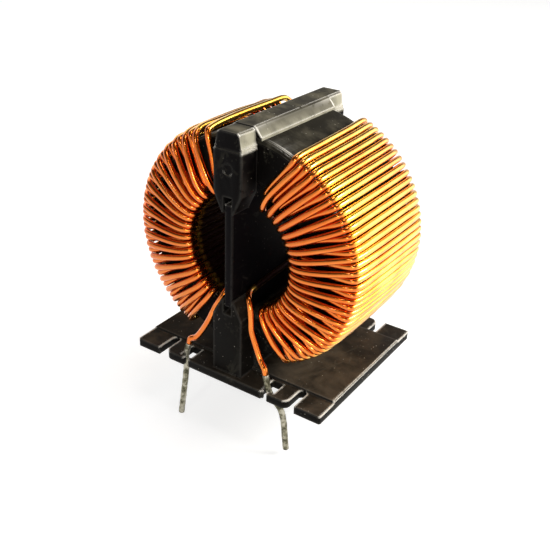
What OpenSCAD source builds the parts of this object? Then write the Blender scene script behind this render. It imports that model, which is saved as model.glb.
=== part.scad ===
// Common-mode choke: a cased ring core stands on edge in a notched base, carries two
// windings of enamelled wire, and is parted down the middle by an insulating divider.
// Axes: X across the two windings, Y along the axis of the ring (front is -Y), Z up.
// The origin is the middle of the base's underside, which seats on a circuit board.

/* [Core] */
// Outer diameter of the cased ring
core_od = 35.8; // [35.2:0.1:36.4]
// Inner diameter of the cased ring
core_id = 22.4; // [22:0.1:23]
// Length of the cased ring along its axis
core_len = 20; // [19:0.25:20.5]
// Wall thickness of the plastic case
case_wall = 0.9; // [0.7:0.1:1.2]
// Chamfer on the edges of the case and its lid
case_chamfer = 0.5; // [0.45:0.05:0.6]
// Gap between the magnetic ring and its case
ring_gap = 0.15; // [0.1:0.05:0.3]

/* [Wire] */
// Diameter of the enamelled wire
wire_d = 0.9; // [0.76:0.02:0.9]
// Turns in each winding, laid in pairs
turns = 38; // [30:2:38]
// How far each winding stands off the side of the core
slack = 1.26; // [0.9:0.1:1.4]
// Outside diameter of the solder-dipped ends
dipped_d = 1.04; // [0.96:0.02:1.1]

/* [Base] */
// How far the base reaches past the cased ring on each side
base_margin = 0.1; // [-0.4:0.1:2]
// Depth of the base plate
base_d = 29.8; // [29.6:0.1:31]
// Thickness of the strips along the front and rear edges
strip_t = 1.4; // [1.2:0.1:1.8]
// Extra thickness of the plate between the strips
step_h = 0.35; // [0.2:0.05:0.5]
// Width of the front and rear strips
strip_w = 4.2; // [4.1:0.05:4.4]
// Width of the two posts
post_w = 5.4; // [5:0.1:5.4]
// Height of the rib that lifts the core off the plate
rib_h = 2.15; // [1.8:0.05:2.6]
// Distance between the left and right wire slots
slot_pitch = 16.3; // [16.2:0.05:16.4]
// Width of each wire slot
slot_w = 2.1; // [2:0.05:2.3]
// Width of each relief notch beside its spring finger
notch_w = 1.4; // [1.2:0.1:1.6]

/* [Divider] */
// Thickness of the divider plate
divider_t = 1.4; // [1.2:0.1:1.5]
// Depth of the posts and arms, in front of and behind the core
arm_t = 3.75; // [3.6:0.05:3.9]
// How far the divider reaches into each forked end
fork_grip = 1.3; // [1:0.1:1.6]

/* [Top bar] */
// Height of the bar above the core
bar_h = 1.65; // [1.4:0.05:2]
// Width of the bar along its top
bar_w = 3.7; // [3.4:0.1:4]
// Width of the two arms
arm_w = 4.9; // [4.6:0.1:5]

/* [Fits] */
// Clearance on each side of parts that slide together
fit = 0.05; // [0.03:0.01:0.08]
// Gap between the core's faces and the posts and arms
face_gap = 0.2; // [0.15:0.05:0.3]

/* [Hidden] */
$fn = 96;

black = "#1b1a1c";
enamel = "#d9642a";
tin = "#9d9a86";
metal = "#4c4a48";

core_r = core_od / 2;
base_w = core_od + 2 * base_margin;
hole_r = core_id / 2;
half_len = core_len / 2;
plate_t = strip_t + step_h;
core_z = plate_t + rib_h + core_r;
arm_in = half_len + face_gap;
arm_out = arm_in + arm_t;
plate_half = base_d / 2 - strip_w;
lid_t = case_wall + 0.1;

// ---------------------------------------------------------------- small helpers

// A bar of section `outline` (x, z), running along Y from y0 to y1.
module along_y(y0, y1) {
    translate([0, y1, 0])
        rotate([90, 0, 0])
            linear_extrude(y1 - y0)
                children();
}

// A disc standing on edge about the ring's axis, from y0 to y1.
module disc(r, y0, y1) {
    translate([0, y1, core_z])
        rotate([90, 0, 0])
            cylinder(h = y1 - y0, r = r);
}

// The same in all four corners of the base.
module four_corners() {
    for (mx = [0, 1], my = [0, 1])
        mirror([mx, 0, 0])
            mirror([0, my, 0])
                children();
}

// What a round corner of radius r takes off a square one at [0, 0].
module corner_waste(r) {
    difference() {
        translate([-1, -1])
            square(r + 1);
        translate([r, r])
            circle(r);
    }
}

// ---------------------------------------------------------------- base

slot_x0 = (slot_pitch - slot_w) / 2;
finger_x0 = slot_x0 + slot_w;
finger_w = 2.8;
finger_x1 = finger_x0 + finger_w;
slot_y0 = base_d / 2 - 0.65;
slot_y1 = plate_half + 0.5;
mouth_x0 = slot_x0 + 0.35;
mouth_x1 = mouth_x0 + 0.75;

// Slot, mouth and relief notch in one corner, with the strip's edge at y = base_d / 2.
module corner_cuts() {
    translate([slot_x0, slot_y1])
        square([slot_w, slot_y0 - slot_y1]);
    translate([mouth_x0, slot_y1])
        square([mouth_x1 - mouth_x0, strip_w]);
    translate([finger_x1, plate_half + notch_w / 2])
        square([notch_w, strip_w]);
    translate([finger_x1 + notch_w / 2, plate_half + notch_w / 2])
        circle(d = notch_w);
    translate([finger_x1, base_d / 2])
        rotate(180)
            corner_waste(1.2);
    translate([mouth_x1, base_d / 2])
        mirror([0, 1])
            corner_waste(0.3);
    translate([base_w / 2, base_d / 2])
        rotate(180)
            corner_waste(0.35);
}

// Forked end shared by the posts and, upside down, by the arms: a straight shank to
// height `shank`, `shoulder_rise` inside the hole's rim, then shoulders that close in on
// the divider's edge.
fork_top = 2.9;
shoulder_rise = 1.1;
fork_tip_w = divider_t + 2 * fit + 0.6;
fork_void = fork_top - fork_grip - 0.1;

module fork_outline(w, shank) {
    difference() {
        polygon([[-w / 2, 0], [w / 2, 0], [w / 2, shank],
                 [fork_tip_w / 2, shank + fork_top], [-fork_tip_w / 2, shank + fork_top],
                 [-w / 2, shank]]);
        translate([-divider_t / 2 - fit, shank + fork_top - fork_grip - fork_void + 0.3])
            square([divider_t + 2 * fit, fork_top * 2]);
    }
}

post_shank = core_z - hole_r + shoulder_rise;
rib_w = 6;

module base() {
    color(black) {
        difference() {
            translate([-base_w / 2, -base_d / 2, 0])
                cube([base_w, base_d, strip_t]);
            four_corners()
                translate([0, 0, -1])
                    linear_extrude(strip_t + 2)
                        corner_cuts();
        }
        difference() {
            translate([-base_w / 2, -plate_half, 0])
                cube([base_w, 2 * plate_half, plate_t]);
            for (s = [-1, 1])
                translate([s * base_w / 2, 0, plate_t])
                    rotate([0, 45, 0])
                        cube([0.28, base_d, 0.28], center = true);
        }
        difference() {
            translate([-rib_w / 2, -arm_in, 0])
                cube([rib_w, 2 * arm_in, plate_t + rib_h + 1]);
            disc(core_r, -half_len - 1, half_len + 1);
        }
        for (s = [0, 1])
            mirror([0, s, 0])
                along_y(-arm_out, -arm_in)
                    fork_outline(post_w, post_shank);
    }
}

// ---------------------------------------------------------------- core

// Section (radius, length) of the case's outside, chamfered on all four edges.
module case_section() {
    c = case_chamfer;
    polygon([[hole_r + c, -half_len], [core_r - c, -half_len], [core_r, -half_len + c],
             [core_r, half_len - c], [core_r - c, half_len], [hole_r + c, half_len],
             [hole_r, half_len - c], [hole_r, -half_len + c]]);
}

// Turns a section (radius, length) about the ring's axis, its length along Y.
module about_axis() {
    translate([0, 0, core_z])
        rotate([-90, 0, 0])
            rotate_extrude()
                children();
}

lid_step = 0.6;

// Outline of the lid: a flange that covers both walls, and a plug between them.
module lid_section(gap) {
    translate([0, -half_len - 1])
        square([core_r + 1, lid_t + 1]);
    translate([hole_r + case_wall + gap, -half_len + lid_t - 0.1])
        square([core_r - hole_r - 2 * case_wall - 2 * gap, lid_step + 0.1]);
}

module core_case() {
    color(black)
        about_axis()
            difference() {
                case_section();
                translate([0, -half_len - 1])
                    square([core_r + 1, lid_t + 1]);
                translate([hole_r + case_wall, -half_len])
                    square([core_r - hole_r - 2 * case_wall, core_len - case_wall]);
            }
}

module core_lid() {
    color(black)
        about_axis()
            intersection() {
                case_section();
                lid_section(fit);
            }
}

module core_ring() {
    r0 = hole_r + case_wall + ring_gap;
    r1 = core_r - case_wall - ring_gap;
    color(metal)
        about_axis()
            translate([r0, -half_len + lid_t + lid_step])
                square([r1 - r0, core_len - lid_t - lid_step - case_wall]);
}

// ---------------------------------------------------------------- divider and top bar

divider_end = hole_r - shoulder_rise - fork_top + fork_grip;
divider_front = arm_out - 0.3;

module divider() {
    color(black) {
        translate([-divider_t / 2, -divider_front, core_z - divider_end])
            cube([divider_t, 2 * divider_front, 2 * divider_end]);
        intersection() {
            translate([-divider_t / 2, -half_len, core_z - hole_r])
                cube([divider_t, core_len, core_id]);
            disc(hole_r - fit, -half_len, half_len);
        }
    }
}

bar_foot_w = 6;
bar_top = core_z + core_r + bar_h;
head_drop = 0.15;
head_h = 2.7;
tenon_w = 1.6;
tenon_h = 0.7;
tenon_len = 2.2;
tenon_z = bar_top - 1.25;
mark_drop = 5.65;
mark_d = 1.7;
head_w = 4.7;
head_inset = 0.12;
neck = 0.5;
edge = 0.25;

// Section of a head: sloping cheeks under a flat top with broken edges.
module head_outline(top) {
    polygon([[-head_w / 2, top - head_h], [head_w / 2, top - head_h],
             [bar_w / 2 + 0.05, top - edge], [bar_w / 2 - edge, top],
             [-bar_w / 2 + edge, top], [-bar_w / 2 - 0.05, top - edge]]);
}

// Arm that hangs from a head, in front of the ring, to its forked end.
module hanging_arm(top) {
    shank = top - head_h - core_z - hole_r + shoulder_rise;
    translate([0, 0, top - head_h])
        mirror([0, 0, 1])
            along_y(-arm_out, -arm_in)
                fork_outline(arm_w, shank);
    along_y(-arm_out + head_inset, -arm_in) {
        head_outline(top);
        translate([-head_w / 2, top - head_h - neck])
            square([head_w, 2 * neck]);
    }
}

module top_bar() {
    color(black)
        difference() {
            union() {
                along_y(-half_len, half_len)
                    polygon([[-bar_foot_w / 2, bar_top - bar_h - 0.5],
                             [bar_foot_w / 2, bar_top - bar_h - 0.5],
                             [bar_foot_w / 2, bar_top - bar_h + 0.15],
                             [bar_w / 2 + 0.1, bar_top - edge],
                             [bar_w / 2 - edge, bar_top],
                             [-bar_w / 2 + edge, bar_top],
                             [-bar_w / 2 - 0.1, bar_top - edge],
                             [-bar_foot_w / 2, bar_top - bar_h + 0.15]]);
                mirror([0, 1, 0])
                    hanging_arm(bar_top);
                along_y(half_len - 1, arm_in + 1)
                    head_outline(bar_top);
            }
            disc(core_r, -half_len - 1, half_len);
            translate([0, -half_len + tenon_len / 2 + fit, tenon_z])
                cube([tenon_w + 2 * fit, tenon_len + 2 * fit + 0.5, tenon_h + 2 * fit],
                     center = true);
        }
}

module front_arm() {
    color(black) {
        difference() {
            union() {
                hanging_arm(bar_top - head_drop);
                along_y(-arm_in - 1, -half_len - fit)
                    intersection() {
                        head_outline(bar_top - head_drop);
                        translate([-head_w / 2, core_z + core_r + 0.1])
                            square([head_w, bar_h]);
                    }
            }
            translate([0, -arm_out + 0.1, bar_top - mark_drop])
                rotate([90, 0, 0])
                    cylinder(h = 1, d = mark_d);
        }
        translate([0, -half_len + tenon_len / 2 - 0.5, tenon_z])
            cube([tenon_w, tenon_len + 1, tenon_h], center = true);
    }
}

// ---------------------------------------------------------------- windings

// Each winding is one wire. It comes up from its front lead, runs back through the hole,
// and climbs the ring in pairs of turns: side by side round the outside, one on top of
// the other in the hole. It leaves at the rear, above its rear lead.
// A winding's own manner, in degrees and mm: [0 side; in the hole: 1 first upper turn,
// 2 angle covered, 3 sag of the even spacing and 4 how early it comes, 5 how far the first
// lower turn lies above its upper one; round the outside: 6 first turn, 7 angle covered,
// 8 sag, 9 lead of the first turn, 10 spread of each of the last ones, 11 how far the
// first rear end lies above its front end, 12 the loss of that with each turn; 13 how far
// every second turn rides up at the rims; slack of the upper layer in the hole: 14 even
// part, 15 part that grows upward].
RIGHT = [1, 62.9, 127, 3.8, 0.7, 4.2, 65.5, 128.3, 0, 0, 0.8, 1.8, 0.18, 0.15, 0.55, 0.55];
LEFT = [-1, 62.5, 122.5, 6.2, 0.35, 4, 70.7, 131, 3.6, 3.1, 0, 1, 0.05, 0.35, 0.2, 0.2];
tuck_step = 0.8;
most_tuck = 7;
most_skew = 2;
spread_turns = 4;

pairs = turns / 2;
touch = 0.05;
half_wire = wire_d / 2 + touch;
layer = 2 * half_wire;
in_r = hole_r - half_wire;
out_r = core_r + half_wire;
face_y = half_len + half_wire;
bow = 0.4;

function sag(u, depth, early = 1) = depth * sin(180 * pow(u, early));

// Angle of turn j in the hole. The lower turn of a pair is tucked in under the pair above.
function in_angle(w, j) =
    let (k = floor(j / 2), u = k / (pairs - 1))
    w[1] - w[2] * u - sag(u, w[3], w[4])
    + (j % 2 == 0 ? min(most_tuck, w[5] + tuck_step * k) : 0);

// Angle of turn j round the outside: from the front rim to midway (s = 0) and behind (1).
function out_angle(w, j, s = 0) =
    let (u = j / (turns - 1))
    w[6] - w[7] * u - sag(u, w[8]) + (j == 0 ? w[9] : 0)
    - w[10] * max(0, j - (turns - 1 - spread_turns))
    + max(0, s) * max(-most_skew, w[11] - w[12] * j);

// Point at radius r, distance y along the ring's axis and angle a, moved `off` outward.
function ring_point(w, r, y, a, off = 0) =
    [w[0] * (off + r * cos(a)), y, core_z + r * sin(a)];

// Corner of a stretch in the hole; s is -1 in front and 1 behind.
function in_corner(w, j, s) =
    let (a = in_angle(w, j), r1 = in_r - layer - w[14] - w[15] * sin(a))
    j % 2 == 0
    ? [ring_point(w, in_r, s * (half_len - 0.3), a),
       ring_point(w, hole_r + 0.35, s * face_y, a)]
    : [ring_point(w, r1, s * (half_len - 0.3), a),
       ring_point(w, r1 + 0.35, s * (face_y + 0.4), a),
       ring_point(w, hole_r + 0.1, s * (face_y + layer), a)];

// Corner of a stretch round the outside, from the face to the rim.
function out_corner(w, j, s) =
    let (a = out_angle(w, j, s), up = j % 2 == (s < 0 ? 1 : 0) ? w[13] : 0)
    [ring_point(w, core_r - 0.3 + 0.3 * up, s * (face_y + up), a, slack),
     ring_point(w, out_r + up / 2, s * (half_len - 0.25), a, slack)];

function reversed(v) = [for (i = [len(v) - 1:-1:0]) v[i]];

// Middle of the stretch over a face between its two ends p and q, lifted off the face
// where it comes down beside the turn below it.
function over_face(p, q, j, s) =
    p + 0.42 * (q - p) + [0, (j % 2 == 0 ? 0 : s * 0.36 * layer), 0];

// One turn: up the rear rim, round the outside to the front, in through the hole to the
// rear, and out over the rear face toward the next turn.
function turn(w, j) =
    let (rear = out_corner(w, j, 1), front = out_corner(w, j, -1),
         nose = in_corner(w, j, -1), tail = in_corner(w, j, 1),
         mid = ring_point(w, out_r + bow, 0, out_angle(w, j), slack))
    concat(rear, [mid], reversed(front),
           [over_face(front[0], nose[len(nose) - 1], j, -1)],
           reversed(nose),
           j == 0 ? [tail[0]]
           : concat(tail, [over_face(out_corner(w, j - 1, 1)[0], tail[len(tail) - 1], j, 1)]));

// Points of a wire near a slot: outward from the slot's outer side and from its outer end,
// and up from the top of the strip. `side` is [left or right, front or rear] as -1 or 1.
function by_slot(side, v) =
    [for (p = v) [side[0] * (finger_x0 + p[0]), side[1] * (slot_y0 + p[1]), strip_t + p[2]]];

// Points of a wire near the hole: outward from the side of the post or arm, w wide, outward
// from the face of the ring, and up from the bottom (-1) or top (1) of the hole's rim.
function by_hole(side, v, rim = -1, w = post_w) =
    [for (p = v) [side[0] * (w / 2 + p[0]), side[1] * (half_len + p[1]),
                  core_z + rim * hole_r + p[2]]];

// Front lead above its soldered end, from the slot to the hole, and on to the rear rim.
FRONT_LEFT = concat(
    by_slot([-1, -1], [[-2.5, -0.85, 3.8], [-3.7, -1.05, 5.5], [-4.9, -1.15, 7.7]]),
    by_hole([-1, -1], [[0.8, 3, 0.3], [0.4, 2.7, 1.4], [-0.4, 2.4, 2.9], [-0.8, 1.2, 4.3],
                       [-0.9, -0.2, 4.6]]),
    by_hole([-1, 1], [[-1, -0.2, 4.6], [-0.4, 1.7, 3.4], [0.8, 1.9, 0.6]]));
FRONT_RIGHT = concat(
    by_slot([1, -1], [[-3.3, -1.05, 4.4], [-4.4, -1.25, 6.6]]),
    by_hole([1, -1], [[1.2, 2.9, -0.4], [0.9, 2.7, 1.2], [0.7, 2.6, 3], [0.1, 2.1, 4.3],
                      [-0.7, 1, 4.6], [-1.1, -0.2, 4.5]]),
    by_hole([1, 1], [[-1.1, -0.2, 4.5], [-0.4, 1.7, 3.4], [0.8, 1.9, 0.6]]));
// Rear lead, from the top of the hole down to its slot.
function rear_route(side) = concat(
    by_hole([side, 1], [[0.55, 0.6, -0.8], [0.55, 2.3, -1.8], [0.65, 2.8, -5]], 1, arm_w),
    by_hole([side, 1], [[0.3, 2.8, 10.4], [0.6, 2.9, 3.9], [0.9, 3, 0.4]]),
    by_slot([side, 1], [[-4.3, -1.15, 6.6], [-2.7, -0.95, 4.2]]));

// Soldered ends, from the end of the enamel through the slot to the tip.
LEAD_FRONT_LEFT = by_slot([-1, -1], [[-1.25, -0.65, 2.3], [-0.6, -0.65, 0.1],
                                     [-0.6, -0.6, -2.3], [0.15, 0.15, -11.8]]);
LEAD_FRONT_RIGHT = by_slot([1, -1], [[-2, -0.65, 2.4], [-1.45, -0.65, 0.1],
                                     [-0.7, -0.75, -1.4], [0.6, -1.55, -4],
                                     [1.7, -1.65, -11]]);
function lead_rear(side) = by_slot([side, 1], [[-1.4, -0.75, 2.3], [-1, -0.65, 0.1],
                                               [-1, -0.65, -2.3], [-0.3, -0.15, -11.4]]);

function unit(v) = v / norm(v);

// The last two points of a wire that runs into the soldered end `lead`.
function into(lead) =
    let (u = unit(lead[0] - lead[1]))
    [lead[0] + fit * u, lead[0] + (fit + 0.9) * u];

function winding_path(w, front, front_lead, rear, rear_lead) =
    concat(into(front_lead), front,
           [for (j = [turns - 1:-1:0]) each turn(w, j)],
           rear, reversed(into(rear_lead)));

// Directions across the path: each is the one before it, carried round the bend.
function along(p, i) =
    unit((i > 0 ? unit(p[i] - p[i - 1]) : [0, 0, 0])
         + (i < len(p) - 1 ? unit(p[i + 1] - p[i]) : [0, 0, 0]));
function across(n, t) = unit(n - (n * t) * t);

// Sweeps a polygon of `sides` sides and diameter d along the points p.
module wire(p, d, sides = 6) {
    last = len(p) - 1;
    n = [for (i = 0, v = across([0.3, 0.2, 1], along(p, 0)); i <= last;
              i = i + 1, v = across(v, along(p, min(i, last)))) v];
    rings = [for (i = [0:last], a = [0:sides - 1])
             let (b = cross(along(p, i), n[i]), t = 360 * a / sides)
             p[i] + d / 2 * (cos(t) * n[i] + sin(t) * b)];
    walls = [for (i = [0:last - 1], a = [0:sides - 1])
             let (c = i * sides, e = (a + 1) % sides)
             each [[c + a, c + sides + e, c + e], [c + a, c + sides + a, c + sides + e]]];
    polyhedron(rings, concat(walls, [[for (a = [0:sides - 1]) a]],
                             [[for (a = [sides - 1:-1:0]) last * sides + a]]));
}

module left_winding() {
    color(enamel)
        wire(winding_path(LEFT, FRONT_LEFT, LEAD_FRONT_LEFT, rear_route(-1), lead_rear(-1)),
             wire_d);
}

module right_winding() {
    color(enamel)
        wire(winding_path(RIGHT, FRONT_RIGHT, LEAD_FRONT_RIGHT, rear_route(1), lead_rear(1)),
             wire_d);
}

// A round bar of diameter d from point a to point b.
module bar(a, b, d) {
    v = b - a;
    translate(a)
        rotate([0, acos(v[2] / norm(v)), atan2(v[1], v[0])])
            cylinder(h = norm(v), d = d);
}

// A soldered end: straight bars joined by bends, each with a slight bead of solder.
module lead(p) {
    color(tin)
        for (i = [0:len(p) - 2]) {
            bar(p[i], p[i + 1], dipped_d);
            if (i > 0)
                translate(p[i])
                    sphere(d = dipped_d + 0.06);
        }
}

module front_left_lead() {
    lead(LEAD_FRONT_LEFT);
}

module front_right_lead() {
    lead(LEAD_FRONT_RIGHT);
}

module rear_left_lead() {
    lead(lead_rear(-1));
}

module rear_right_lead() {
    lead(lead_rear(1));
}

base();
core_case();
core_lid();
core_ring();
divider();
top_bar();
front_arm();
left_winding();
right_winding();
front_left_lead();
front_right_lead();
rear_left_lead();
rear_right_lead();
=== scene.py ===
import math
import random

import bmesh
import bpy
from mathutils import Matrix, Vector


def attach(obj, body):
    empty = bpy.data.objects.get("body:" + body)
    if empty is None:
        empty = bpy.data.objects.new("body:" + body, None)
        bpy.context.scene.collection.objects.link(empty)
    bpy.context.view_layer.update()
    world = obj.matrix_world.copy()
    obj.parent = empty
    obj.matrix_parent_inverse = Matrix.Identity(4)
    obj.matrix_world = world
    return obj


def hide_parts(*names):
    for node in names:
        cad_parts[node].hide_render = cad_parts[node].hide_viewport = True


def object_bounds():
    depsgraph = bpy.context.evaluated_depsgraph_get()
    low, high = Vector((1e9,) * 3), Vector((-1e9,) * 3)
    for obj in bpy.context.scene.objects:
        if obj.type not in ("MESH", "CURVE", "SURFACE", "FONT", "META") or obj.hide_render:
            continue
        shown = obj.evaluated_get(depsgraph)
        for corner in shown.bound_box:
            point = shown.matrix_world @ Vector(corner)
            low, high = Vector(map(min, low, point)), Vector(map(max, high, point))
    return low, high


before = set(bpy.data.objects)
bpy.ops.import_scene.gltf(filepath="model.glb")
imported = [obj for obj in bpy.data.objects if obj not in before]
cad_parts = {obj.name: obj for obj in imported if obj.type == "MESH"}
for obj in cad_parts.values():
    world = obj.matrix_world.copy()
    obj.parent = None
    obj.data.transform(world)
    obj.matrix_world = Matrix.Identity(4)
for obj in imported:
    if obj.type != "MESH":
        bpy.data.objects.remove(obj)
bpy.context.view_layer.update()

MM = 0.001


# ---------------------------------------------------------------- sizes, in millimetres

CORE_R = 17.9             # outer radius of the cased ring
HOLE_R = 11.2             # radius of its hole
HALF_LEN = 10.0           # half its length along its axis
CORE_Z = 21.8             # height of its axis
WIRE_D = 0.98             # enamelled wire, over the enamel
DIPPED_D = 1.04           # solder-dipped ends
LAYER = 1.0               # spacing of the two layers of wire in the hole
SLACK = 1.26              # how far each winding stands off the side of the core
TURNS = 38                # turns in each winding, laid in pairs
MOST_TUCK = 7.0           # degrees by which a lower turn lies above its upper one, at most
MOST_SKEW = 2.0           # degrees by which a stretch round the outside turns, at most
TUCK_STEP = 0.8           # degrees by which each pair is tucked further than the last
SPREAD_TURNS = 4          # last turns that spread apart round the outside
STAND = 0.5               # height of a wire's middle over what it lies on
CURVE_STEP = 0.22         # length of one straight step along a swept wire
EDGE_WIDTH = 0.6          # width of the pale band along an edge: part wear, part a painted highlight
SHEEN_FROM = 38.0        # height above which the side faces carry a painted sheen


# ---------------------------------------------------------------- camera

def look(azimuth, elevation, roll):
    """Camera rotation that looks at the object from a compass side and a height."""
    a, e, r = (math.radians(v) for v in (azimuth, elevation, roll))
    back = Vector((math.sin(a) * math.cos(e), -math.cos(a) * math.cos(e), math.sin(e)))
    right = Vector((math.cos(a), math.sin(a), 0))
    up = back.cross(right)
    tilted_right = right * math.cos(r) + up * math.sin(r)
    tilted_up = up * math.cos(r) - right * math.sin(r)
    return Matrix((tilted_right, tilted_up, back)).transposed()


def make_camera():
    data = bpy.data.cameras.new("camera")
    data.sensor_width = 36
    data.lens = 52.53
    data.clip_start, data.clip_end = 0.005, 5
    camera = bpy.data.objects.new("camera", data)
    camera.matrix_world = (Matrix.Translation(Vector((63.76, -98.02, 76.07)) * MM)
                           @ look(33.29, 28.32, 1.99).to_4x4())
    bpy.context.collection.objects.link(camera)
    bpy.context.scene.camera = camera


# ---------------------------------------------------------------- wire routes
# The same routes as the CAD windings, rounded and with a hand-wound unevenness.

class Winding:
    """One winding's turns, by their angles round the ring. In degrees: in the hole the
    turns start at `first` and cover `span`, with a `sag` that comes `early`, and the lower
    layer lies `tuck` above. Round the outside they start at `rim_first` and cover
    `rim_span` with `rim_sag`; the first stands off by `head`, the last spread by `tail`
    each, and all turn by `skew` less `drift` a turn. In millimetres: one wire of a pair
    has a `ride` over the other at the rim, and the upper layer in the hole stands off by
    `even`, and by `grow` towards the top."""

    def __init__(self, side, first, span, sag, early, tuck, rim_first, rim_span, rim_sag,
                 head, tail, skew, drift, ride, even, grow, seed):
        self.side, self.first, self.span, self.sag, self.early = side, first, span, sag, early
        self.tuck, self.rim_first, self.rim_span = tuck, rim_first, rim_span
        self.rim_sag, self.head, self.tail = rim_sag, head, tail
        self.skew, self.drift, self.ride = skew, drift, ride
        self.even, self.grow = even, grow
        self.random = random.Random(seed)
        self.outer_play = [self.random.uniform(-1, 1) for _ in range(TURNS)]
        self.inner_play = [self.random.uniform(-1, 1) for _ in range(TURNS)]
        self.face_play = [self.random.uniform(-1, 1) for _ in range(TURNS)]

    def inner_angle(self, j):
        k = j // 2
        u = k / (TURNS // 2 - 1)
        angle = self.first - self.span * u - self.sag * math.sin(math.pi * u ** self.early)
        if j % 2 == 0:
            angle += min(MOST_TUCK, self.tuck + TUCK_STEP * k)
        return angle + 0.5 * self.inner_play[j]

    def outer_angle(self, j, s=0.0):
        u = j / (TURNS - 1)
        angle = self.rim_first - self.rim_span * u - self.rim_sag * math.sin(math.pi * u)
        if j == 0:
            angle += self.head
        angle -= self.tail * max(0, j - (TURNS - 1) + SPREAD_TURNS)
        angle += max(0, s) * max(-MOST_SKEW, self.skew - self.drift * j)
        return angle + 0.2 * self.outer_play[j]

    def point(self, radius, y, angle, off=0.0):
        a = math.radians(angle)
        return Vector((self.side * (off + radius * math.cos(a)), y,
                       CORE_Z + radius * math.sin(a)))

    def in_corner(self, j, s):
        a = self.inner_angle(j)
        face = HALF_LEN + STAND
        inner = HOLE_R - STAND
        if j % 2 == 0:
            return [self.point(inner, s * (HALF_LEN - 0.6), a),
                    self.point(inner + 0.22, s * (HALF_LEN + 0.18), a),
                    self.point(HOLE_R + 0.45, s * face, a)]
        r1 = inner - LAYER - self.even - self.grow * math.sin(math.radians(a))
        r1 += 0.1 * self.inner_play[j]
        return [self.point(r1, s * (HALF_LEN - 0.5), a),
                self.point(r1 + 0.3, s * (face + 0.45), a),
                self.point(HOLE_R, s * (face + LAYER), a)]

    def out_corner(self, j, s):
        a = self.outer_angle(j, s)
        up = self.ride if j % 2 == (1 if s < 0 else 0) else 0
        face = HALF_LEN + STAND
        return [self.point(CORE_R - 0.55 + 0.3 * up, s * (face + up), a, SLACK),
                self.point(CORE_R + 0.22, s * (HALF_LEN + 0.2), a, SLACK),
                self.point(CORE_R + 0.5 + up / 2, s * (HALF_LEN - 0.75), a, SLACK)]

    def over_face(self, p, q, j, s):
        lift = s * (0.36 * LAYER if j % 2 else 0.0) + s * 0.06 * (1 + self.face_play[j])
        return p + 0.42 * (q - p) + Vector((0, lift, 0))

    def turn(self, j):
        rear, front = self.out_corner(j, 1), self.out_corner(j, -1)
        nose, tail = self.in_corner(j, -1), self.in_corner(j, 1)
        bow = CORE_R + 0.9 + 0.12 * self.outer_play[j]
        outside = [self.point(bow - 0.12, 5 * s, self.outer_angle(j, 0.5 * s), SLACK)
                   for s in (1, -1)]
        run = rear + outside + front[::-1]
        run.append(self.over_face(front[0], nose[-1], j, -1))
        run += nose[::-1]
        if j == 0:
            return run + tail[:1]
        return run + tail + [self.over_face(self.out_corner(j - 1, 1)[0], tail[-1], j, 1)]


def points(*rows):
    return [Vector(row) for row in rows]


def mirrored(route):
    return [Vector((-p.x, p.y, p.z)) for p in route]


# From the end of the enamel above the slot up to the hole, and back through it.
FRONT_LEFT = points((-6.7, -13.4, 5.2), (-5.5, -13.2, 6.9), (-4.3, -13.1, 9.1),
                    (-3.5, -13, 10.9), (-3.1, -12.7, 12), (-2.3, -12.4, 13.5),
                    (-1.9, -11.2, 14.9), (-1.8, -9.8, 15.2), (-1.7, 9.8, 15.2),
                    (-2.3, 11.7, 14), (-3.5, 11.9, 11.2))
FRONT_RIGHT = points((5.9, -13.2, 5.8), (4.8, -13, 8), (3.9, -12.9, 10.2),
                     (3.6, -12.7, 11.8), (3.4, -12.6, 13.6), (2.8, -12.1, 14.9),
                     (2, -11, 15.2), (1.6, -9.8, 15.1), (1.6, 9.8, 15.1),
                     (2.3, 11.7, 14), (3.5, 11.9, 11.2))
REAR = points((3, 10.6, 32.2), (3, 12.3, 31.2), (3.1, 12.8, 28), (3, 12.8, 21),
              (3.3, 12.9, 14.5), (3.6, 13, 11), (4.9, 13.1, 8), (6.5, 13.3, 5.6))

# Stripped and solder-dipped ends, from the end of the enamel to the tip.
LEAD_FRONT_LEFT = points((-7.95, -13.6, 3.7), (-8.6, -13.6, 1.5), (-8.6, -13.65, -0.9),
                         (-9.35, -14.4, -10.4))
LEAD_FRONT_RIGHT = points((7.2, -13.6, 3.8), (7.75, -13.6, 1.5), (8.5, -13.5, 0),
                          (9.8, -12.7, -2.6), (10.9, -12.6, -9.6))
LEAD_REAR = points((7.8, 13.5, 3.7), (8.2, 13.6, 1.5), (8.2, 13.6, -0.9), (8.9, 14.1, -10))


def winding_route(winding, front_lead, front, rear, rear_lead):
    start = [front_lead[0], front_lead[0] + (front_lead[0] - front_lead[1]).normalized()]
    end = [rear_lead[0] + (rear_lead[0] - rear_lead[1]).normalized(), rear_lead[0]]
    route = start + front
    for j in range(TURNS - 1, -1, -1):
        route += winding.turn(j)
    return route + rear + end


# ---------------------------------------------------------------- swept wires

def smooth(route, steps):
    """A rounded curve through the points of a route, even in pace along each stretch."""
    pts = [2 * route[0] - route[1]] + route + [2 * route[-1] - route[-2]]
    out = []
    for p0, p1, p2, p3 in zip(pts, pts[1:], pts[2:], pts[3:]):
        k01, k12, k23 = (max((b - a).length, 1e-6) ** 0.5
                         for a, b in ((p0, p1), (p1, p2), (p2, p3)))
        m1 = (p1 - p0) / k01 - (p2 - p0) / (k01 + k12) + (p2 - p1) / k12
        m2 = (p2 - p1) / k12 - (p3 - p1) / (k12 + k23) + (p3 - p2) / k23
        m1, m2 = m1 * k12, m2 * k12
        count = max(2, min(steps, round((p2 - p1).length / CURVE_STEP)))
        for i in range(count):
            t = i / count
            out.append((2 * t ** 3 - 3 * t ** 2 + 1) * p1 + (t ** 3 - 2 * t ** 2 + t) * m1
                       + (3 * t ** 2 - 2 * t ** 3) * p2 + (t ** 3 - t ** 2) * m2)
    return out + [route[-1]]


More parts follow.
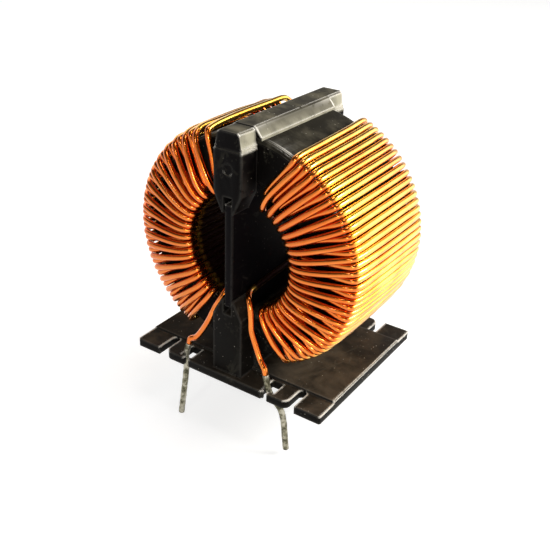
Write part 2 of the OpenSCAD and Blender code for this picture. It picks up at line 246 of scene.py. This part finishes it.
def sweep(name, route, width, sides=12):
    """A tube along a route. `width` gives its diameter at a length along it and an angle
    round it."""
    bm = bmesh.new()
    last = len(route) - 1
    normal = Vector((0.3, 0.2, 1))
    rings = []
    run = 0.0
    for i, p in enumerate(route):
        tangent = (route[min(i + 1, last)] - route[max(i - 1, 0)]).normalized()
        normal = (normal - normal.dot(tangent) * tangent).normalized()
        binormal = tangent.cross(normal)
        if i:
            run += (p - route[i - 1]).length
        ring = []
        for s in range(sides):
            a = math.tau * s / sides
            r = width(run, a) / 2
            v = bm.verts.new((p + r * (math.cos(a) * normal + math.sin(a) * binormal)) * MM)
            ring.append(v)
        rings.append(ring)
    for one, two in zip(rings, rings[1:]):
        for s in range(sides):
            e = (s + 1) % sides
            bm.faces.new((one[s], one[e], two[e], two[s]))
    bm.faces.new(rings[0][::-1])
    bm.faces.new(rings[-1])
    mesh = bpy.data.meshes.new(name)
    bm.to_mesh(mesh)
    bm.free()
    for polygon in mesh.polygons:
        polygon.use_smooth = len(polygon.vertices) == 4
    piece = bpy.data.objects.new(name, mesh)
    bpy.context.collection.objects.link(piece)
    return piece


# ---------------------------------------------------------------- moulded pieces

def moulded(node, name, radius):
    """The CAD part with the small rounded edges of a moulding."""
    bm = bmesh.new()
    bm.from_mesh(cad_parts[node].data)
    bmesh.ops.remove_doubles(bm, verts=bm.verts, dist=1e-6)
    bmesh.ops.dissolve_limit(bm, angle_limit=math.radians(1.0), verts=bm.verts,
                             edges=bm.edges)
    mesh = bpy.data.meshes.new(name)
    bm.to_mesh(mesh)
    bm.free()
    for polygon in mesh.polygons:
        polygon.use_smooth = True
    piece = bpy.data.objects.new(name, mesh)
    bpy.context.collection.objects.link(piece)
    bevel = piece.modifiers.new("moulded_edges", "BEVEL")
    bevel.width = radius * MM
    bevel.segments = 3
    bevel.limit_method = "ANGLE"
    bevel.angle_limit = math.radians(28)
    bevel.harden_normals = True
    bevel.use_clamp_overlap = True
    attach(piece, "root")
    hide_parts(node)
    return piece


# ---------------------------------------------------------------- node groups

class Graph:
    """Short ways to add and join shader nodes."""

    def __init__(self, tree):
        self.tree = tree

    def node(self, kind, **settings):
        made = self.tree.nodes.new(kind)
        for key, value in settings.items():
            setattr(made, key, value)
        return made

    def feed(self, socket, value):
        if isinstance(value, bpy.types.NodeSocket):
            self.tree.links.new(value, socket)
        else:
            socket.default_value = value

    def math(self, operation, a, b=0.0, c=0.0, clamp=False):
        made = self.node("ShaderNodeMath", operation=operation, use_clamp=clamp)
        for socket, value in zip(made.inputs, (a, b, c)):
            self.feed(socket, value)
        return made.outputs[0]

    def span(self, value, low, high, to_low=0.0, to_high=1.0):
        """Smoothly carries the range low..high of a value to another range."""
        made = self.node("ShaderNodeMapRange", interpolation_type="SMOOTHSTEP")
        for socket, given in zip(made.inputs, (value, low, high, to_low, to_high)):
            self.feed(socket, given)
        return made.outputs[0]

    def mix(self, share, a, b):
        made = self.node("ShaderNodeMix", data_type="RGBA")
        for socket, value in ((made.inputs[0], share), (made.inputs[6], a),
                              (made.inputs[7], b)):
            self.feed(socket, value)
        return made.outputs[2]

    def noise(self, where, scale, detail=2.0, rough=0.5, distortion=0.0):
        made = self.node("ShaderNodeTexNoise")
        self.feed(made.inputs["Vector"], where)
        self.feed(made.inputs["Scale"], scale)
        made.inputs["Detail"].default_value = detail
        made.inputs["Roughness"].default_value = rough
        made.inputs["Distortion"].default_value = distortion
        return made.outputs[0]

    def stretched(self, where, by):
        made = self.node("ShaderNodeMapping")
        self.feed(made.inputs["Vector"], where)
        made.inputs["Scale"].default_value = by
        return made.outputs[0]

    def bump(self, height, distance, strength):
        made = self.node("ShaderNodeBump")
        self.feed(made.inputs["Height"], height)
        made.inputs["Distance"].default_value = distance
        made.inputs["Strength"].default_value = strength
        return made.outputs[0]


def group(name, inputs, outputs, build):
    """A shader node group; inputs and outputs are (name, kind, default or None)."""
    tree = bpy.data.node_groups.new(name, "ShaderNodeTree")
    for label, kind, default in inputs:
        socket = tree.interface.new_socket(label, in_out="INPUT", socket_type=kind)
        if default is not None:
            socket.default_value = default
    for label, kind in outputs:
        tree.interface.new_socket(label, in_out="OUTPUT", socket_type=kind)
    graph = Graph(tree)
    given = graph.node("NodeGroupInput").outputs
    results = build(graph, given)
    out = graph.node("NodeGroupOutput")
    for label, value in results.items():
        graph.feed(out.inputs[label], value)
    return tree


VALUE, COLOUR = "NodeSocketFloat", "NodeSocketColor"


def build_worn_and_highlit_edges(g, given):
    """Pale edges, broken by noise: a little anywhere, and most along the long upper edges of
    the
    left and right sides: part rubbing where the piece is held, part a painted highlight."""
    rounded = g.node("ShaderNodeBevel", samples=8)
    g.feed(rounded.inputs["Radius"], given["Width"])
    flat = g.node("ShaderNodeNewGeometry").outputs["True Normal"]
    alike = g.node("ShaderNodeVectorMath", operation="DOT_PRODUCT")
    g.feed(alike.inputs[0], rounded.outputs[0])
    g.feed(alike.inputs[1], flat)
    turned = g.math("SUBTRACT", 1.0, alike.outputs["Value"])
    faces = g.node("ShaderNodeSeparateXYZ")
    g.feed(faces.inputs[0], rounded.outputs[0])
    sideways = g.span(g.math("ABSOLUTE", faces.outputs["X"]), 0.15, 0.4)
    upward = g.span(faces.outputs["Z"], 0.15, 0.4)
    where = g.node("ShaderNodeTexCoord").outputs["Object"]
    place = g.node("ShaderNodeSeparateXYZ")
    g.feed(place.inputs[0], where)
    out = g.math("SUBTRACT", g.math("ABSOLUTE", place.outputs["X"]), given["Beyond"])
    # Upper side edges: where the piece is held, and where the painted highlight runs.
    held_and_lit = g.math("MULTIPLY", g.math("MULTIPLY", sideways, upward),
                  g.span(out, -0.0005, 0.0005))
    breaks = g.noise(where, given["Scale"], 4.0, 0.6)
    edge = g.span(turned, 0.004, 0.06)
    kept = g.span(breaks, 0.24, 0.44)
    share = g.math("MULTIPLY_ADD", held_and_lit, 0.96, 0.04)
    return {"Mask": g.math("MULTIPLY", g.math("MULTIPLY", edge, kept), share, clamp=True)}


def build_dust(g, given):
    """Dust lying on what faces up, in a thin film and in single specks."""
    where = g.node("ShaderNodeTexCoord").outputs["Object"]
    normal = g.node("ShaderNodeSeparateXYZ")
    g.feed(normal.inputs[0], g.node("ShaderNodeNewGeometry").outputs["Normal"])
    up = g.span(normal.outputs["Z"], 0.2, 0.95)
    film = g.span(g.noise(where, given["Patch Scale"], 5.0, 0.6, 0.4), 0.4, 0.72)
    specks = g.node("ShaderNodeTexVoronoi", feature="F1")
    g.feed(specks.inputs["Vector"], where)
    g.feed(specks.inputs["Scale"], given["Speck Scale"])
    dots = g.span(specks.outputs["Distance"], 0.05, 0.16, 1.0, 0.0)
    rare = g.span(g.noise(where, g.math("MULTIPLY", given["Speck Scale"], 0.31), 2.0),
                  0.5, 0.66)
    speck = g.math("MULTIPLY", dots, rare)
    lying = g.math("MULTIPLY", g.math("MULTIPLY_ADD", film, 0.55, 0.12), up)
    return {"Film": g.math("MULTIPLY", lying, given["Amount"], clamp=True),
            "Specks": g.math("MULTIPLY", speck, given["Amount"], clamp=True)}


def build_painted_side_sheen(g, given):
    """Faces to the left and right above a height, made pale as a painted sheen of the lamps
    on them.
    """
    where = g.node("ShaderNodeTexCoord").outputs["Object"]
    place = g.node("ShaderNodeSeparateXYZ")
    g.feed(place.inputs[0], where)
    high = g.span(g.math("SUBTRACT", place.outputs["Z"], given["From Height"]), 0.0, 0.0008)
    normal = g.node("ShaderNodeSeparateXYZ")
    g.feed(normal.inputs[0], g.node("ShaderNodeNewGeometry").outputs["Normal"])
    facing = g.span(g.math("ABSOLUTE", normal.outputs["X"]), 0.55, 0.9)
    blotches = g.span(g.noise(where, 420.0, 4.0, 0.6), 0.25, 0.6, 0.55, 1.0)
    side_sheen = g.math("MULTIPLY", g.math("MULTIPLY", facing, blotches), high)
    return {"Mask": g.math("MULTIPLY", side_sheen, given["Amount"], clamp=True)}


def build_scuffs(g, given):
    """Fine crossing scratches and rubbed patches."""
    where = g.node("ShaderNodeTexCoord").outputs["Object"]
    total = None
    for turn, stretch in ((0.35, (1.0, 0.045, 1.0)), (1.25, (0.06, 1.0, 1.0)),
                          (2.3, (1.0, 0.08, 0.3))):
        turned = g.node("ShaderNodeMapping")
        g.feed(turned.inputs["Vector"], where)
        turned.inputs["Rotation"].default_value = (0.3 * turn, 0.2 * turn, turn)
        lines = g.noise(g.stretched(turned.outputs[0], stretch), given["Scale"], 3.0, 0.55)
        mark = g.span(lines, 0.6, 0.68)
        total = mark if total is None else g.math("MAXIMUM", total, mark)
    patches = g.span(g.noise(where, g.math("MULTIPLY", given["Scale"], 0.12), 3.0), 0.45, 0.7)
    return {"Lines": g.math("MULTIPLY", total, patches), "Patches": patches}


def build_moulded_skin(g, given):
    """Fine grain and slow waviness of a moulded surface, as a height."""
    where = g.node("ShaderNodeTexCoord").outputs["Object"]
    grain = g.noise(where, given["Grain Scale"], 3.0, 0.6)
    waves = g.noise(where, g.math("MULTIPLY", given["Grain Scale"], 0.09), 2.0, 0.5)
    return {"Height": g.math("MULTIPLY_ADD", waves, 2.2, grain)}


def build_enamel(g, given):
    """Uneven colour and gloss of enamelled copper, yellowed round the outside as a painted
    highlight;
    a redder, deeper copy over the two faces of the ring as painted shade, and dull and near
    black inside the hole as painted shade."""
    where = g.node("ShaderNodeTexCoord").outputs["Object"]
    slow = g.noise(where, given["Scale"], 3.0, 0.55)
    fine = g.noise(where, g.math("MULTIPLY", given["Scale"], 11.0), 3.0, 0.6)
    tone = g.span(slow, 0.3, 0.7)
    colour = g.mix(tone, given["Dark"], given["Light"])
    nicks = g.span(fine, 0.66, 0.76)
    colour = g.mix(g.math("MULTIPLY", nicks, 0.6), colour, (0.12, 0.025, 0.008, 1.0))
    place = g.node("ShaderNodeSeparateXYZ")
    g.feed(place.inputs[0], where)
    height = g.math("SUBTRACT", place.outputs["Z"], CORE_Z * MM)
    radius = g.math("SQRT", g.math("ADD", g.math("POWER", place.outputs["X"], 2.0),
                                   g.math("POWER", height, 2.0)))
    depth = g.math("ABSOLUTE", place.outputs["Y"])
    in_hole = g.span(radius, (HOLE_R - 0.4) * MM, (HOLE_R + 0.4) * MM, 1.0, 0.0)
    between_faces = g.span(depth, (HALF_LEN - 1.5) * MM, (HALF_LEN + 0.2) * MM, 1.0, 0.0)
    # Painted shade: inside the hole the wires turn near black, rougher and with less coat.
    hole_shade = g.math("MULTIPLY", in_hole, between_faces)
    # Painted shade: over the two faces of the ring the copper turns to a redder, deeper copy.
    over_face = g.span(depth, (HALF_LEN - 0.4) * MM, (HALF_LEN + 0.6) * MM)
    colour = g.mix(g.math("MULTIPLY", over_face, 0.78), colour, given["Face"])
    colour = g.mix(hole_shade, colour, (0.02, 0.002, 0.001, 1.0))
    rough = g.math("MULTIPLY_ADD", fine, 0.14, given["Gloss"])
    return {"Colour": colour, "Roughness": g.math("MULTIPLY_ADD", hole_shade, 0.4, rough),
            "Unshaded": g.math("MULTIPLY_ADD", hole_shade, -0.95, 1.0),
            "Height": g.math("MULTIPLY_ADD", slow, 0.6, fine)}


def build_solder(g, given):
    """Lumpy solder coat with grey-olive tarnish and dark flux residue."""
    where = g.node("ShaderNodeTexCoord").outputs["Object"]
    lumps = g.noise(where, given["Scale"], 3.0, 0.6, 0.3)
    fine = g.noise(where, g.math("MULTIPLY", given["Scale"], 3.3), 4.0, 0.65)
    tarnish = g.span(lumps, 0.35, 0.65)
    flux = g.span(g.math("MULTIPLY_ADD", fine, 0.5, g.math("MULTIPLY", lumps, 0.5)),
                  0.5, 0.62)
    colour = g.mix(tarnish, given["Bright"], given["Tarnish"])
    return {"Colour": g.mix(flux, colour, given["Flux"]), "Flux": flux,
            "Height": g.math("MULTIPLY_ADD", lumps, 1.0, g.math("MULTIPLY", fine, 0.4))}


WORN_AND_HIGHLIT_EDGES = group("worn_and_highlit_edges", [("Width", VALUE, 0.0002), ("Scale", VALUE, 900.0),
                                ("Beyond", VALUE, 0.0)],
                  [("Mask", VALUE)], build_worn_and_highlit_edges)
DUST = group("dust", [("Amount", VALUE, 1.0), ("Patch Scale", VALUE, 160.0),
                      ("Speck Scale", VALUE, 1500.0)],
             [("Film", VALUE), ("Specks", VALUE)], build_dust)
PAINTED_SIDE_SHEEN = group("painted_side_sheen", [("Amount", VALUE, 1.0),
                                      ("From Height", VALUE, SHEEN_FROM * MM)],
                     [("Mask", VALUE)], build_painted_side_sheen)
SCUFFS = group("scuffs", [("Scale", VALUE, 900.0)],
               [("Lines", VALUE), ("Patches", VALUE)], build_scuffs)
MOULDED_SKIN = group("moulded_skin", [("Grain Scale", VALUE, 2600.0)],
                     [("Height", VALUE)], build_moulded_skin)
ENAMEL = group("enamel", [("Scale", VALUE, 130.0), ("Gloss", VALUE, 0.17),
                          ("Face", COLOUR, None), ("Dark", COLOUR, None),
                          ("Light", COLOUR, None)],
               [("Colour", COLOUR), ("Roughness", VALUE), ("Unshaded", VALUE), ("Height", VALUE)],
               build_enamel)
SOLDER = group("solder", [("Scale", VALUE, 900.0), ("Bright", COLOUR, None),
                          ("Tarnish", COLOUR, None), ("Flux", COLOUR, None)],
               [("Colour", COLOUR), ("Flux", VALUE), ("Height", VALUE)], build_solder)


# ---------------------------------------------------------------- materials

def begin(name):
    """A fresh material: its graph and its Principled shader."""
    material = bpy.data.materials.new(name)
    material.use_nodes = True
    graph = Graph(material.node_tree)
    shader = material.node_tree.nodes["Principled BSDF"]
    return material, graph, shader


def use(graph, tree, **values):
    """Places a node group; values go to its inputs, with _ for a space."""
    made = graph.node("ShaderNodeGroup", node_tree=tree)
    for key, value in values.items():
        graph.feed(made.inputs[key.replace("_", " ")], value)
    return made.outputs


def black_plastic(name, tone, roughness=0.5, dust=1.0, wear=1.0, side_sheen=0.0, beyond=-10.0,
                  dust_tint=(0.2, 0.18, 0.13, 1.0)):
    """Moulded black plastic, dusty and scuffed, with a painted sheen high on its sides. Its
    long upper side edges are pale, worn and painted with a highlight, only further out than
    `beyond` millimetres from the middle."""
    material, g, shader = begin(name)
    scuffs = use(g, SCUFFS, Scale=1000.0)
    dirt = use(g, DUST, Amount=dust)
    edges = use(g, WORN_AND_HIGHLIT_EDGES, Width=EDGE_WIDTH * MM, Beyond=beyond * MM)
    skin = use(g, MOULDED_SKIN, Grain_Scale=2600.0)
    sides = use(g, PAINTED_SIDE_SHEEN, Amount=side_sheen)
    # Pale tone for scratches, and for the painted sheen high on the side faces.
    pale = (0.42, 0.4, 0.31, 1.0)
    colour = g.mix(g.math("MULTIPLY", scuffs["Patches"], 0.3), tone,
                   tuple(1.6 * c + 0.0005 for c in tone[:3]) + (1.0,))
    # Painted sheen: the side faces high up are made pale.
    colour = g.mix(sides["Mask"], colour, pale)
    colour = g.mix(g.math("MULTIPLY", scuffs["Lines"], 0.07 * wear), colour, pale)
    colour = g.mix(dirt["Film"], colour, dust_tint)
    # Pale edges: part wear, part a painted highlight of the lamps along the edge.
    colour = g.mix(g.math("MULTIPLY", edges["Mask"], 0.9 * wear), colour,
                   (0.95, 0.92, 0.85, 1.0))
    colour = g.mix(dirt["Specks"], colour, (0.5, 0.47, 0.4, 1.0))
    g.feed(shader.inputs["Base Color"], colour)
    rough = g.math("MULTIPLY_ADD", scuffs["Patches"], 0.12, roughness)
    g.feed(shader.inputs["Roughness"],
           g.math("MULTIPLY_ADD", dirt["Film"], 0.4, rough, clamp=True))
    height = g.math("MULTIPLY_ADD", scuffs["Lines"], -0.8, skin["Height"])
    g.feed(shader.inputs["Normal"], g.bump(height, 0.00002, 0.5))
    shader.inputs["Specular IOR Level"].default_value = 0.05
    return material


def enamelled_copper():
    material, g, shader = begin("enamelled_copper")
    # The two copper tones are yellowed as a painted highlight of the lamps; the face colour
    # is a redder copy as painted shade.
    coat = use(g, ENAMEL, Dark=(0.9, 0.34, 0.02, 1.0), Light=(1.0, 0.63, 0.1, 1.0),
               Face=(0.72, 0.095, 0.001, 1.0))
    g.feed(shader.inputs["Base Color"], coat["Colour"])
    g.feed(shader.inputs["Roughness"], coat["Roughness"])
    g.feed(shader.inputs["Normal"], g.bump(coat["Height"], 0.000015, 0.35))
    shader.inputs["Metallic"].default_value = 1.0
    shader.inputs["Sheen Weight"].default_value = 0.06
    shader.inputs["Sheen Roughness"].default_value = 0.3
    shader.inputs["Sheen Tint"].default_value = (1.0, 0.6, 0.1, 1.0)
    # Less coat inside the hole, under the painted shade.
    g.feed(shader.inputs["Coat Weight"], g.math("MULTIPLY", coat["Unshaded"], 0.6))
    shader.inputs["Coat Roughness"].default_value = 0.05
    return material


def solder_dipped():
    material, g, shader = begin("solder_dipped_copper")
    coat = use(g, SOLDER, Bright=(0.5, 0.47, 0.38, 1.0), Tarnish=(0.2, 0.19, 0.12, 1.0),
               Flux=(0.055, 0.05, 0.022, 1.0))
    g.feed(shader.inputs["Base Color"], coat["Colour"])
    g.feed(shader.inputs["Roughness"], g.math("MULTIPLY_ADD", coat["Flux"], 0.25, 0.36))
    g.feed(shader.inputs["Metallic"], g.math("MULTIPLY_ADD", coat["Flux"], -0.6, 0.85))
    g.feed(shader.inputs["Normal"], g.bump(coat["Height"], 0.00006, 0.8))
    return material


def ferrite():
    material, g, shader = begin("ferrite")
    skin = use(g, MOULDED_SKIN, Grain_Scale=3000.0)
    where = g.node("ShaderNodeTexCoord").outputs["Object"]
    spots = g.span(g.noise(where, 1800.0, 3.0), 0.4, 0.65)
    g.feed(shader.inputs["Base Color"],
           g.mix(spots, (0.035, 0.035, 0.038, 1.0), (0.07, 0.07, 0.074, 1.0)))
    g.feed(shader.inputs["Normal"], g.bump(skin["Height"], 0.00003, 0.6))
    shader.inputs["Roughness"].default_value = 0.6
    return material


def dress(piece, material):
    piece.data.materials.clear()
    piece.data.materials.append(material)


# ---------------------------------------------------------------- assembly

def make_mouldings():
    parts = (("base", "base_body", 0.14, "base_plastic"),
             ("core_case", "case_shell", 0.1, "case_plastic"),
             ("core_lid", "case_lid", 0.1, "case_plastic"),
             ("divider", "divider_plate", 0.12, "divider_plastic"),
             ("top_bar", "bar_and_rear_arm", 0.14, "bar_plastic"),
             ("front_arm", "closing_arm", 0.14, "bar_plastic"))
    finishes = {
        "base_plastic": black_plastic("base_plastic", (0.007, 0.006, 0.005, 1.0), 0.5, 1.1,
                                      beyond=5.0, dust_tint=(0.11, 0.085, 0.06, 1.0)),
        "case_plastic": black_plastic("case_plastic", (0.004, 0.0033, 0.003, 1.0), 0.45, 0.8),
        "divider_plastic": black_plastic("divider_plastic", (0.004, 0.003, 0.004, 1.0),
                                         0.55, 0.4),
        "bar_plastic": black_plastic("bar_plastic", (0.0035, 0.0028, 0.003, 1.0), 0.45, 1.6,
                                     side_sheen=1.0)}
    for node, name, radius, slot in parts:
        dress(moulded(node, name, radius), finishes[slot])
    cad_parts["core_ring"].data.materials.clear()
    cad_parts["core_ring"].data.materials.append(ferrite())


RIGHT = Winding(side=1, first=62.9, span=127, sag=3.8, early=0.7, tuck=4.2,
                rim_first=65.5, rim_span=128.3, rim_sag=0, head=0, tail=0.8,
                skew=1.8, drift=0.18, ride=0.15, even=0.55, grow=0.55, seed=4)
LEFT = Winding(side=-1, first=62.5, span=122.5, sag=6.2, early=0.35, tuck=4,
               rim_first=70.7, rim_span=131, rim_sag=3.6, head=3.1, tail=0,
               skew=1, drift=0.05, ride=0.35, even=0.2, grow=0.2, seed=9)


def make_windings():
    copper = enamelled_copper()
    jobs = (("left_winding", LEFT, LEAD_FRONT_LEFT, FRONT_LEFT, mirrored(REAR),
             mirrored(LEAD_REAR)),
            ("right_winding", RIGHT, LEAD_FRONT_RIGHT, FRONT_RIGHT, REAR, LEAD_REAR))
    for node, winding, front_lead, front, rear, rear_lead in jobs:
        route = smooth(winding_route(winding, front_lead, front, rear, rear_lead), 6)
        piece = sweep(node + "_wire", route, lambda run, a: WIRE_D)
        dress(piece, copper)
        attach(piece, "root")
        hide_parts(node)


def make_leads():
    tin = solder_dipped()
    jobs = (("front_left_lead", LEAD_FRONT_LEFT), ("front_right_lead", LEAD_FRONT_RIGHT),
            ("rear_left_lead", mirrored(LEAD_REAR)), ("rear_right_lead", LEAD_REAR))
    for number, (node, route) in enumerate(jobs):
        chance = random.Random(31 + number)
        phases = [(chance.uniform(1.2, 5.5), chance.uniform(0, 6.3), chance.uniform(0, 6.3))
                  for _ in range(5)]

        def width(run, a, phases=phases):
            lump = sum(math.sin(f * run + p + math.cos(a + q)) for f, p, q in phases)
            return DIPPED_D * (0.965 + 0.014 * lump)

        piece = sweep(node + "_solder", smooth(route, 40), width, sides=18)
        dress(piece, tin)
        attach(piece, "root")
        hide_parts(node)


# ---------------------------------------------------------------- floor and light

def make_floor():
    """A pale round floor whose far edge turns up like a studio cove."""
    low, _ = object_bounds()
    bm = bmesh.new()
    rim = [(0.3, 0.0), (1.4, 0.0), (1.55, 0.02), (1.66, 0.08), (1.73, 0.18), (1.76, 0.3),
           (1.76, 0.68)]
    steps = 96
    rings = [[bm.verts.new((r * math.cos(math.tau * i / steps),
                            r * math.sin(math.tau * i / steps), z)) for i in range(steps)]
             for r, z in rim]
    bm.faces.new(rings[0])
    for one, two in zip(rings, rings[1:]):
        for i in range(steps):
            e = (i + 1) % steps
            bm.faces.new((one[i], two[i], two[e], one[e]))
    mesh = bpy.data.meshes.new("floor")
    bm.to_mesh(mesh)
    bm.free()
    floor = bpy.data.objects.new("floor", mesh)
    floor.location.z = low.z - 0.0001
    bpy.context.collection.objects.link(floor)
    material, g, shader = begin("pale_floor")
    path = g.node("ShaderNodeLightPath")
    seen = g.math("MAXIMUM", path.outputs["Is Camera Ray"],
                  g.math("MAXIMUM", path.outputs["Is Glossy Ray"],
                         path.outputs["Is Transmission Ray"]))
    shader.inputs["Base Color"].default_value = (0.6, 0.6, 0.6, 1.0)
    shader.inputs["Roughness"].default_value = 0.9
    shader.inputs["Specular IOR Level"].default_value = 0.1
    shader.inputs["Emission Color"].default_value = (1.0, 1.0, 1.0, 1.0)
    g.feed(shader.inputs["Emission Strength"], g.math("MULTIPLY", seen, 0.72))
    floor.data.materials.append(material)


def softbox(name, side, height, distance, size, level, colour=(1.0, 1.0, 1.0)):
    """A lamp that faces the core, at a side (from +X towards +Y) and a height in degrees.
    `level` is what a white card that faces it would send back."""
    a, e = math.radians(side), math.radians(height)
    way = Vector((math.cos(a) * math.cos(e), math.sin(a) * math.cos(e), math.sin(e)))
    data = bpy.data.lights.new(name, "AREA")
    data.shape = "RECTANGLE"
    data.size, data.size_y = size
    data.energy = level * math.pi ** 2 * distance ** 2
    data.color = colour
    lamp = bpy.data.objects.new(name, data)
    lamp.location = Vector((0, 0, CORE_Z * MM)) + distance * way
    lamp.rotation_mode = "QUATERNION"
    lamp.rotation_quaternion = (-way).to_track_quat("-Z", "Y")
    lamp.visible_camera = False
    bpy.context.collection.objects.link(lamp)


def make_lights():
    warm = (1.0, 0.97, 0.9)
    softbox("window", 40, 20, 0.4, (0.6, 0.35), 0.7, warm)
    softbox("lamp", 36, 26, 0.4, (0.12, 0.12), 0.7, warm)
    softbox("spark", -55, 10, 0.4, (0.05, 0.05), 0.22, warm)
    softbox("fill", -80, 40, 0.4, (0.05, 0.05), 0.08, warm)
    softbox("top", 0, 80, 0.5, (0.15, 0.15), 0.18)
    softbox("back", 150, 35, 0.4, (0.3, 0.3), 0.25)
    world = bpy.data.worlds.new("studio")
    world.use_nodes = True
    background = world.node_tree.nodes["Background"]
    background.inputs["Color"].default_value = (1.0, 1.0, 1.0, 1.0)
    background.inputs["Strength"].default_value = 0.08
    bpy.context.scene.world = world


make_camera()
make_mouldings()
make_windings()
make_leads()
make_floor()
make_lights()
bpy.context.scene.view_settings.view_transform = "Standard"
